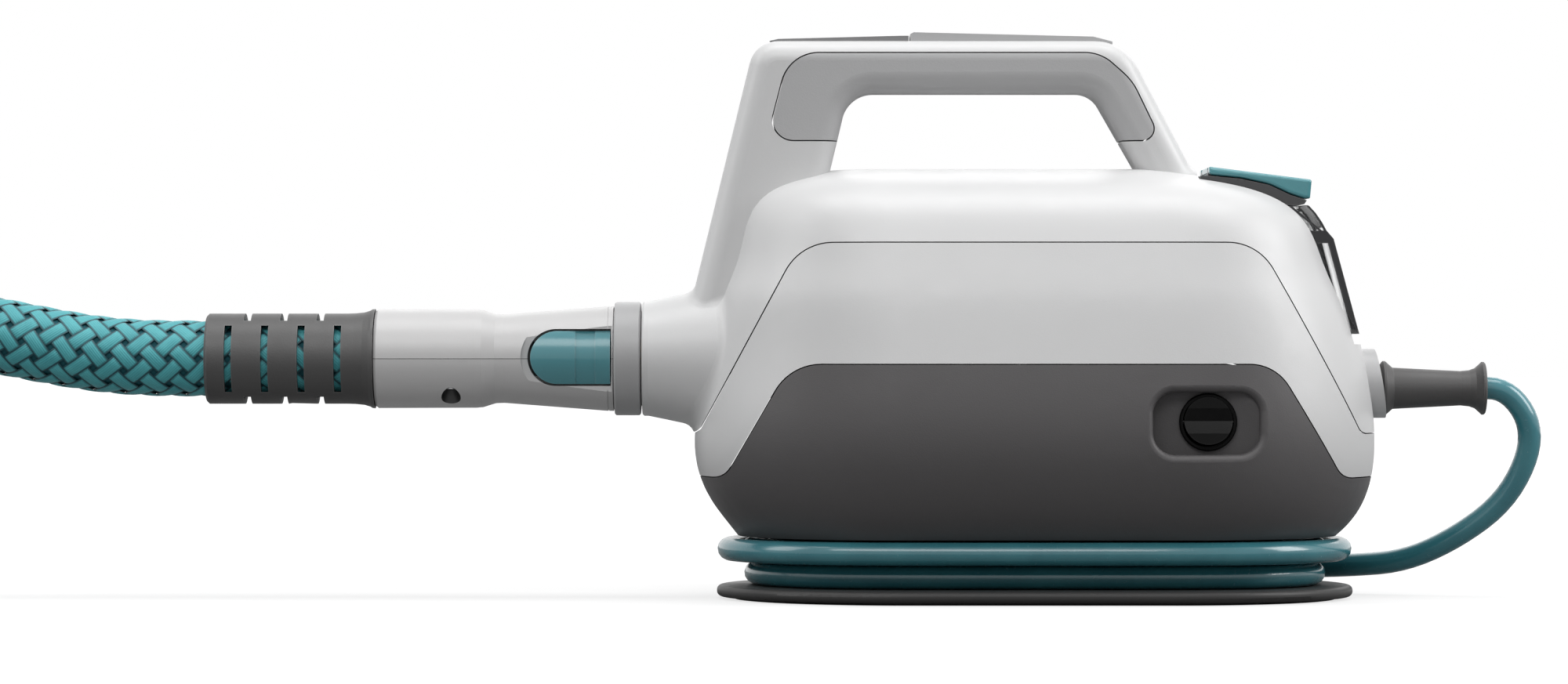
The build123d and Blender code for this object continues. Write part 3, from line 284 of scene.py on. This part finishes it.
DARK_SHELL = (0.090, 0.086, 0.088)
LIGHT_GREY = (0.635, 0.635, 0.637)

dress(moulded("dark_shell_plastic", DARK_SHELL, 0.46, 0.00003, 2200.0, 0.08, 0.06, specular=0.3),
      "lower_shell")
dress(moulded("light_shell_plastic", LIGHT_GREY, 0.44, drift=0.03), "mid_housing")


# ------------------------------------------------------------ upper housing, grip and handle strip
# The white upper housing carries the handle arch in the same moulding. Over the arch lies a softer
# grey insert, and in front of the button a thin grey strip closes the top.

WHITE = (0.67, 0.67, 0.672)

dress(moulded("white_shell_plastic", WHITE, 0.38, drift=0.03), "upper_housing")
dress(moulded("grip_soft_touch", (0.47, 0.47, 0.475), 0.5, 0.00004, 1900.0, 0.04), "handle_grip")
dress(moulded("strip_plastic", (0.24, 0.24, 0.243), 0.36), "handle_top_strip")


# ------------------------------------------------------------ steam button
# A long rocker-like button in the top of the handle. It rides on two small coil springs and presses
# a microswitch under it.

dress(moulded("button_plastic", (0.50, 0.50, 0.505), 0.34), "steam_button")
dress(moulded("switch_case_plastic", (0.02, 0.02, 0.02), 0.35), "steam_microswitch")
dress(metal("spring_steel", (0.50, 0.50, 0.52), 0.25, 0.15), "button_springs", "release_spring")


# ------------------------------------------------------------ power switch
# A round rocker switch, pushed into the recess of the lower shell. Bezel and rocker are black
# polycarbonate, polished in the mould.

dress(moulded("switch_gloss_plastic", (0.004, 0.004, 0.004), 0.12, 0.000002, drift=0.0, edge_light=0.02,
              specular=0.1),
      "switch_body", "power_rocker")


# ------------------------------------------------------------ hose port and connector
# The port is a turned brass spigot with a rubber ring. The connector is two white shells screwed
# together over the hose barb, with a grey collar and a teal release button.

BRASS = metal("turned_brass", (0.62, 0.46, 0.20), 0.28, 0.3, (0.25, 0.16, 0.08))
dress(BRASS, "port_spigot")
dress(moulded("barb_nylon", (0.10, 0.10, 0.10), 0.45), "hose_barb")
dress(moulded("seal_rubber", (0.018, 0.018, 0.018), 0.55, 0.00004, 1200.0), "port_seal", "filler_seal")

SCREW_HOLE_X, SCREW_HOLE_Y = -0.2021, 0.0106
SCREW_HOLE_R = 0.0033
SCREW_HOLE_TOP = 0.0750


def connector_plastic():
    """White plastic, with painted shade inside the two counterbores of the screws."""
    material = moulded("connector_plastic", (0.58, 0.575, 0.575), 0.38, drift=0.03)
    tree = material.node_tree
    shader = tree.nodes["Principled BSDF"]
    axes = tree.nodes.new("ShaderNodeSeparateXYZ")
    tree.links.new(object_coordinates(tree), axes.inputs["Vector"])
    along = math_node(tree, "SUBTRACT", axes.outputs["X"], SCREW_HOLE_X)
    across = math_node(tree, "SUBTRACT", math_node(tree, "ABSOLUTE", axes.outputs["Y"]), SCREW_HOLE_Y)
    distance = math_node(tree, "SQRT", math_node(tree, "ADD", math_node(tree, "MULTIPLY", along, along),
                                                 math_node(tree, "MULTIPLY", across, across)))
    # Inside the counterbores, below their tops, the colour turns to a painted shade.
    inside = remap(tree, distance, SCREW_HOLE_R + 0.00003, SCREW_HOLE_R + 0.00008, 1.0, 0.0)
    below = remap(tree, axes.outputs["Z"], SCREW_HOLE_TOP + 0.0001, SCREW_HOLE_TOP + 0.0003, 1.0, 0.0)
    plain = shader.inputs["Base Color"].links[0].from_socket
    shade = mix_colour(tree, math_node(tree, "MULTIPLY", inside, below), plain, (0.03, 0.03, 0.031, 1.0))
    tree.links.new(shade, shader.inputs["Base Color"])
    return material


dress(connector_plastic(), "connector_upper_half", "connector_lower_half")
dress(moulded("collar_plastic", (0.42, 0.42, 0.425), 0.42), "connector_collar")
dress(ZINC, "connector_screws")
dress(moulded("latch_plastic", (0.075, 0.27, 0.31), 0.22, 0.00001, coat=0.3), "release_button")


# ------------------------------------------------------------ relief boot and steam hose
# A silicone tube in a sleeve of flat teal tapes, braided one over and one under at 45 degrees. A
# slotted rubber boot keeps it from kinking where it leaves the connector.

HOSE_RADIUS = 0.0133
BRAID_RADIUS = 0.01305
CORE_RADIUS = HOSE_RADIUS - 0.0011
TAPE_PITCH = 2 * math.pi * BRAID_RADIUS / 8
TAPE_HALF_WIDTH = 0.0026
TAPE_HALF_LENGTH = 0.0062
THREADS = 7
TURN_CENTRE = (-0.7112, 0.07365)
TURN_RADIUS = 0.150
TURN_START, TURN_STEP = -82.5, 25.0
RETURN_Y = 0.22365
HOSE_POINTS = [
    (-0.2125, 0.0, 0.0832), (-0.2400, 0.0, 0.0832), (-0.2650, 0.0, 0.0832), (-0.288, 0.0, 0.0832),
    (-0.318, 0.0, 0.0836), (-0.345, 0.0, 0.0880), (-0.384, 0.0, 0.0962), (-0.4357, -0.0036, 0.0922),
    (-0.4833, -0.0111, 0.0727), (-0.5238, -0.0204, 0.0414), (-0.5692, -0.0343, 0.0203),
    (-0.6176, -0.0519, 0.0134), (-0.6500, -0.0637, HOSE_RADIUS),
]
for step in range(8):
    angle = math.radians(TURN_START - step * TURN_STEP)
    reach = TURN_RADIUS / (0.75 + 0.25 * math.cos(math.radians(TURN_STEP)))
    HOSE_POINTS.append((TURN_CENTRE[0] + reach * math.cos(angle), TURN_CENTRE[1] + reach * math.sin(angle),
                        HOSE_RADIUS))
HOSE_POINTS += [(-0.678, RETURN_Y, HOSE_RADIUS), (-0.640, RETURN_Y, HOSE_RADIUS), (-0.600, RETURN_Y, 0.0137),
                (-0.575, RETURN_Y, 0.0166), (-0.5612, RETURN_Y, 0.0172)]


def nurbs_curve(name, points, resolution):
    """A smooth open curve whose control points are the route's points."""
    data = bpy.data.curves.new(name, "CURVE")
    data.dimensions = "3D"
    data.resolution_u = resolution
    spline = data.splines.new("NURBS")
    spline.points.add(len(points) - 1)
    for slot, point in zip(spline.points, points):
        slot.co = (*point, 1.0)
    spline.order_u = 3
    spline.use_endpoint_u = True
    curve = bpy.data.objects.new(name, data)
    scene.collection.objects.link(curve)
    return curve


def line_of(curve):
    """The curve's own line, as points."""
    bpy.context.view_layer.update()
    mesh = bpy.data.meshes.new_from_object(curve.evaluated_get(bpy.context.evaluated_depsgraph_get()))
    places = [vertex.co.copy() for vertex in mesh.vertices]
    bpy.data.meshes.remove(mesh)
    return places


def frames_along(line):
    """Length so far and an untwisted frame at each point of a line."""
    length, up, found = 0.0, Vector((0, 0, 1)), []
    for index, place in enumerate(line):
        ahead = (line[min(index + 1, len(line) - 1)] - line[max(index - 1, 0)]).normalized()
        up = (up - ahead * up.dot(ahead)).normalized()
        if index:
            length += (place - line[index - 1]).length
        found.append((length, place, up, ahead.cross(up)))
    return found


def wrap_on(frames, vertices):
    """Moves vertices from a flat sheet (x along, y around, z radius) to a tube round the line."""
    last = len(frames) - 1
    at = 0
    for vertex in sorted(vertices, key=lambda v: v.co.x):
        along, around, radius = vertex.co
        while at < last - 1 and frames[at + 1][0] < along:
            at += 1
        (before, place, up, side), (after, place_2, up_2, side_2) = frames[at], frames[at + 1]
        share = (along - before) / (after - before)
        turn = around / BRAID_RADIUS
        centre = place.lerp(place_2, share)
        outward = up.lerp(up_2, share) * math.cos(turn) + side.lerp(side_2, share) * math.sin(turn)
        vertex.co = centre + outward.normalized() * radius


def mesh_object(name, bm, material):
    """A smooth-shaded object at the origin from a finished mesh."""
    mesh = bpy.data.meshes.new(name)
    for face in bm.faces:
        face.smooth = True
    bm.to_mesh(mesh)
    bm.free()
    mesh.materials.append(material)
    made = bpy.data.objects.new(name, mesh)
    scene.collection.objects.link(made)
    return made


def tape_material():
    """A tape of parallel teal filaments. The tape's UV runs across it and along it."""
    material, tree, shader = new_material("braid_tape")
    uv = tree.nodes.new("ShaderNodeUVMap")
    uv.uv_map = "tape"
    split = tree.nodes.new("ShaderNodeSeparateXYZ")
    tree.links.new(uv.outputs["UV"], split.inputs["Vector"])
    across, along = split.outputs["X"], split.outputs["Y"]
    threads = math_node(tree, "SINE", math_node(tree, "MULTIPLY", across, 2 * math.pi * THREADS))
    threads = math_node(tree, "ADD", math_node(tree, "MULTIPLY", threads, 0.5), 0.5)
    # Painted shade: the tapes darken along their edges and at their ends, where they dip under the crossing
    # tapes.
    side, end = (math_node(tree, "ABSOLUTE", math_node(
        tree, "SUBTRACT", math_node(tree, "MULTIPLY", share, 2.0), 1.0)) for share in (across, along))
    tape_edge_shade = math_node(tree, "MAXIMUM", remap(tree, side, 0.66, 0.86, 0.0, 1.0),
                    remap(tree, end, 0.64, 0.78, 0.0, 1.0))
    place = object_coordinates(tree)
    blotch = remap(tree, noise(tree, place, 160.0, 3.0), 0.3, 0.7, 0.0, 1.0)
    body = mix_colour(tree, blotch, (0.060, 0.365, 0.405, 1), (0.085, 0.445, 0.480, 1))
    body = mix_colour(tree, math_node(tree, "MULTIPLY", threads, 0.16), body, (0.03, 0.20, 0.23, 1))
    colour = mix_colour(tree, tape_edge_shade, body, (0.006, 0.055, 0.070, 1))
    tree.links.new(colour, shader.inputs["Base Color"])
    shader.inputs["Roughness"].default_value = 0.55
    shader.inputs["Sheen Weight"].default_value = 0.15
    shader.inputs["Sheen Roughness"].default_value = 0.4
    add_bump(tree, shader, threads, 0.00008, 0.7)
    return material


def double(bm, shift):
    """Copies all of a mesh and moves the copy."""
    copy = bmesh.ops.duplicate(bm, geom=bm.verts[:] + bm.faces[:])["geom"]
    bmesh.ops.translate(bm, vec=shift, verts=[item for item in copy if isinstance(item, bmesh.types.BMVert)])


def braid_tapes(name, lean, offset, frames, material):
    """Every visible float of the tapes that lean one way, each a crowned strip."""
    bm = bmesh.new()
    uv = bm.loops.layers.uv.new("tape")
    bmesh.ops.create_grid(bm, x_segments=6, y_segments=4, size=1.0)
    for face in bm.faces:
        for loop in face.loops:
            loop[uv].uv = ((loop.vert.co.y + 1) / 2, (loop.vert.co.x + 1) / 2)
    for vertex in bm.verts:
        end, side, _ = vertex.co
        dip = max(0.0, abs(end) - 0.6) / 0.4
        radius = HOSE_RADIUS - 0.00005 - 0.00035 * side * side - 0.0009 * dip * dip
        run, over = end * TAPE_HALF_LENGTH, side * TAPE_HALF_WIDTH
        vertex.co = ((run + over * lean) / math.sqrt(2), (run * lean - over) / math.sqrt(2), radius)
    total = frames[-1][0]
    rows = math.ceil(total / TAPE_PITCH) + 1
    for step in (1, 2, 4):
        double(bm, (0, step * TAPE_PITCH, 0))
    step = 1
    while step < rows:
        double(bm, (step * TAPE_PITCH, 0, 0))
        step *= 2
    bmesh.ops.translate(bm, vec=(offset, offset, 0), verts=bm.verts)
    for cut, inner in ((0.0005, False), (total - 0.0005, True)):
        bmesh.ops.bisect_plane(bm, geom=bm.verts[:] + bm.edges[:] + bm.faces[:], plane_co=(cut, 0, 0),
                               plane_no=(1, 0, 0), clear_outer=inner, clear_inner=not inner)
    wrap_on(frames, bm.verts)
    bmesh.ops.recalc_face_normals(bm, faces=bm.faces)
    return mesh_object(name, bm, material)


hose_route = nurbs_curve("hose_route", HOSE_POINTS, 12)
hose_line = line_of(hose_route)
bpy.data.objects.remove(hose_route)
hose_frames = frames_along(hose_line)

bm = bmesh.new()
bmesh.ops.create_grid(bm, x_segments=len(hose_line) - 1, y_segments=24, size=1.0)
for vertex in bm.verts:
    along = (vertex.co.x + 1) / 2 * (len(hose_line) - 1)
    length = hose_frames[round(along)][0]
    vertex.co = (length, (vertex.co.y + 1) * math.pi * BRAID_RADIUS, CORE_RADIUS)
wrap_on(hose_frames, bm.verts)
bmesh.ops.remove_doubles(bm, verts=bm.verts, dist=0.00001)
bmesh.ops.recalc_face_normals(bm, faces=bm.faces)
hose_core = mesh_object("hose_core", bm, moulded("hose_core_rubber", (0.018, 0.105, 0.130), 0.7, 0.00005,
                                                 edge_light=0.0, specular=0.15))
tape_finish = tape_material()
tapes = [braid_tapes("hose_tapes_right", 1, 0.0, hose_frames, tape_finish),
         braid_tapes("hose_tapes_left", -1, TAPE_PITCH / 2, hose_frames, tape_finish)]
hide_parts("hose_lead", "hose_coil")
for piece in (hose_core, *tapes):
    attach(piece, "hose")

dress(moulded("boot_rubber", (0.074, 0.073, 0.073), 0.48, 0.00004, 1500.0, 0.06), "hose_relief_boot")
dress(moulded("fitting_plastic", (0.10, 0.10, 0.10), 0.42), "hose_end_fitting")


# ------------------------------------------------------------ mains cord, strain relief and plug
# An 8 mm round cord with a glossy teal PVC sheath. It leaves a flared rubber relief, drops, and is
# wound in two layers round the hub. Its plug lies behind the base.

CORD_RADIUS = 0.004
LOW_LEVEL, HIGH_LEVEL = 0.00895, 0.0173
CORD_POINTS = [
    (0.138, 0.0, 0.0729), (0.152, 0.0, 0.0729), (0.1635, 0.0, 0.0730), (0.1722, 0.0008, 0.0625),
    (0.1724, 0.0024, 0.0495), (0.1640, 0.0060, 0.0330), (0.1480, 0.0110, 0.0205),
    (0.1310, 0.0200, 0.0120), (0.1130, 0.0325, 0.0100), (0.0950, 0.0435, 0.0092),
    (0.0740, 0.0490, LOW_LEVEL),
]
ARC_STEPS = 6
ARC_SWELL = 1.035  # control points lie outside the arc that they make


def turns(halves, level, last_level, left, right):
    """Half turns of a winding, from the back: each end arc goes from one half width to the next."""
    placed = []
    for index, (before, after) in enumerate(zip(halves, halves[1:])):
        at_left = index % 2 == 0
        middle = left if at_left else right
        for step in range(ARC_STEPS + 1):
            share = step / ARC_STEPS
            angle = math.radians((90 if at_left else -90) + 180 * share)
            swell = 1.0 if step in (0, ARC_STEPS) else ARC_SWELL
            reach = (before + (after - before) * share) * swell
            climb = share if index == len(halves) - 2 else 0.0
            placed.append((middle + reach * math.cos(angle), reach * math.sin(angle),
                           level + (last_level - level) * climb))
        side = after if not at_left else -after
        height = last_level if index == len(halves) - 2 else level
        placed.append(((left + right) / 2, side, height))
    return placed


LOWER_HALVES = [0.049, 0.045, 0.041, 0.037, 0.033, 0.029, 0.025, 0.021, 0.0205]
UPPER_HALVES = [0.0205, 0.0241, 0.0281, 0.0321, 0.0361, 0.0401, 0.0441, 0.0481, 0.0521, 0.0561, 0.0601]
CORD_POINTS += turns(LOWER_HALVES, LOW_LEVEL, HIGH_LEVEL, -0.0498, 0.0538)
CORD_POINTS += turns(UPPER_HALVES, HIGH_LEVEL, HIGH_LEVEL, -0.052, 0.048)[:-1]
CORD_POINTS += [(0.022, 0.0630, 0.0160), (0.004, 0.0740, 0.0110), (-0.014, 0.0870, 0.0092),
                (-0.030, 0.0920, 0.0090), (-0.045, 0.0920, 0.0090)]


def cord_sheath():
    """Glossy PVC with a faint blotchy tone, and scuffs."""
    material, tree, shader = new_material("cord_sheath")
    place = object_coordinates(tree)
    blotch = remap(tree, noise(tree, place, 70.0, 3.0), 0.3, 0.7, 0.0, 1.0)
    colour = mix_colour(tree, blotch, (0.038, 0.190, 0.230, 1), (0.050, 0.230, 0.270, 1))
    scuff = remap(tree, noise(tree, place, 600.0, 5.0, 0.7), 0.62, 0.75, 0.0, 1.0)
    colour = mix_colour(tree, math_node(tree, "MULTIPLY", scuff, 0.25), colour, (0.16, 0.36, 0.40, 1))
    tree.links.new(colour, shader.inputs["Base Color"])
    tree.links.new(remap(tree, scuff, 0.0, 1.0, 0.22, 0.45), shader.inputs["Roughness"])
    shader.inputs["Coat Weight"].default_value = 0.5
    shader.inputs["Coat Roughness"].default_value = 0.12
    add_bump(tree, shader, noise(tree, place, 330.0, 2.0), 0.00006, 0.6)
    return material


mains_cord = nurbs_curve("mains_cord", CORD_POINTS, 5)
mains_cord.data.bevel_depth = CORD_RADIUS
mains_cord.data.bevel_resolution = 5
mains_cord.data.use_fill_caps = True
mains_cord.data.materials.append(cord_sheath())
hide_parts("mains_cord_lead", "mains_cord_coil", "mains_cord_tail")
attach(mains_cord, "housing")

dress(moulded("relief_rubber", (0.070, 0.068, 0.068), 0.5, 0.00004, 1500.0), "cord_strain_relief")
dress(moulded("boss_plastic", (0.50, 0.50, 0.505), 0.42), "cord_boss")
dress(moulded("plug_plastic", (0.050, 0.050, 0.050), 0.4), "plug_body")
dress(BRASS, "plug_pins")


# ------------------------------------------------------------ water tank, frame and filler flap
# The tank is blown in clear plastic and held in a black frame that lifts out with it. A teal flap
# on a steel pin covers the filler hole.

def clear_plastic():
    """Clear plastic that bends light little, with a slight haze."""
    material, tree, shader = new_material("tank_clear")
    place = object_coordinates(tree)
    haze = remap(tree, noise(tree, place, 120.0, 3.0), 0.3, 0.7, 0.06, 0.14)
    tint = mix_colour(tree, noise(tree, place, 40.0), (0.94, 0.945, 0.95, 1), (0.97, 0.972, 0.975, 1))
    tree.links.new(tint, shader.inputs["Base Color"])
    tree.links.new(haze, shader.inputs["Roughness"])
    shader.inputs["Transmission Weight"].default_value = 1.0
    shader.inputs["IOR"].default_value = 1.10
    return material


dress(clear_plastic(), "water_tank")
dress(moulded("tank_frame_plastic", (0.022, 0.022, 0.024), 0.25, drift=0.0), "tank_frame")
dress(moulded("tank_lid_plastic", (0.055, 0.055, 0.057), 0.3), "tank_lid")
dress(moulded("flap_plastic", (0.075, 0.29, 0.325), 0.2, 0.00001, coat=0.4), "filler_flap")
dress(moulded("tank_fittings_plastic", (0.03, 0.03, 0.03), 0.4), "tank_valve")
dress(moulded("bay_plastic", (0.55, 0.55, 0.55), 0.5), "tank_bay", "tank_socket")
dress(ZINC, "flap_hinge_pin")


# ------------------------------------------------------------ studio
# A pale floor under plain soft light, and a camera level with the body on the switch side.

def place_light(name, place, target, width, height, power):
    """A rectangular softbox turned to its target, with its power in watts."""
    data = bpy.data.lights.new(name, "AREA")
    data.shape = "RECTANGLE"
    data.size, data.size_y = width, height
    data.energy = power
    lamp = bpy.data.objects.new(name, data)
    scene.collection.objects.link(lamp)
    lamp.location = place
    lamp.rotation_euler = (Vector(target) - Vector(place)).to_track_quat("-Z", "Y").to_euler()


place_light("top_softbox", (-0.05, -0.10, 1.45), (-0.05, 0.0, 0.1), 1.7, 0.7, 13.0)
place_light("front_softbox", (-0.35, -1.50, 1.35), (-0.05, 0.0, 0.1), 1.5, 0.6, 11.0)
place_light("right_softbox", (1.35, -0.20, 0.85), (0.05, 0.0, 0.12), 0.7, 0.9, 12.5)
place_light("left_softbox", (-1.45, -0.20, 0.95), (-0.1, 0.0, 0.1), 0.7, 0.9, 5.5)
place_light("back_softbox", (0.3, 1.7, 1.1), (0.0, 0.0, 0.1), 1.8, 0.8, 4.0)


def seen_as_white(tree):
    """1 where the camera, a mirror or glass looks at the background, else 0."""
    path = tree.nodes.new("ShaderNodeLightPath")
    seen = math_node(tree, "MAXIMUM", path.outputs["Is Camera Ray"], path.outputs["Is Glossy Ray"])
    return math_node(tree, "MAXIMUM", seen, path.outputs["Is Transmission Ray"])


world = bpy.data.worlds.new("studio")
scene.world = world
world.use_nodes = True
tree = world.node_tree
background = tree.nodes["Background"]
white = tree.nodes.new("ShaderNodeBackground")
background.inputs["Color"].default_value = (0.98, 0.99, 1.0, 1)
background.inputs["Strength"].default_value = 0.22
white.inputs["Color"].default_value = (1, 1, 1, 1)
white.inputs["Strength"].default_value = 1.0
mixer = tree.nodes.new("ShaderNodeMixShader")
tree.links.new(seen_as_white(tree), mixer.inputs[0])
tree.links.new(background.outputs[0], mixer.inputs[1])
tree.links.new(white.outputs[0], mixer.inputs[2])
tree.links.new(mixer.outputs[0], tree.nodes["World Output"].inputs["Surface"])

bm = bmesh.new()
bmesh.ops.create_grid(bm, x_segments=1, y_segments=1, size=12.0)
floor_material, tree, shader = new_material("pale_floor")
place = object_coordinates(tree)
grain = noise(tree, place, 30.0, 3.0)
tree.links.new(mix_colour(tree, grain, (0.24, 0.24, 0.24, 1), (0.27, 0.27, 0.27, 1)),
               shader.inputs["Base Color"])
shader.inputs["Roughness"].default_value = 0.9
shader.inputs["Specular IOR Level"].default_value = 0.1
distance = tree.nodes.new("ShaderNodeVectorMath")
distance.operation = "LENGTH"
tree.links.new(place, distance.inputs[0])
glow = remap(tree, distance.outputs["Value"], 0.3, 1.3, 0.72, 1.0)
shader.inputs["Emission Color"].default_value = (1, 1, 1, 1)
sight = tree.nodes.new("ShaderNodeLightPath")
tree.links.new(math_node(tree, "MULTIPLY", sight.outputs["Is Camera Ray"], glow),
               shader.inputs["Emission Strength"])
floor = mesh_object("floor", bm, floor_material)

camera_data = bpy.data.cameras.new("camera")
camera_data.lens = 128.8
camera_data.sensor_width = 36.0
camera_data.clip_end = 60.0
camera = bpy.data.objects.new("camera", camera_data)
scene.collection.objects.link(camera)
camera.location = (-0.087, -1.95, 0.089)
camera.rotation_euler = (math.radians(90), 0, 0)
scene.camera = camera
scene.view_settings.view_transform = "Standard"
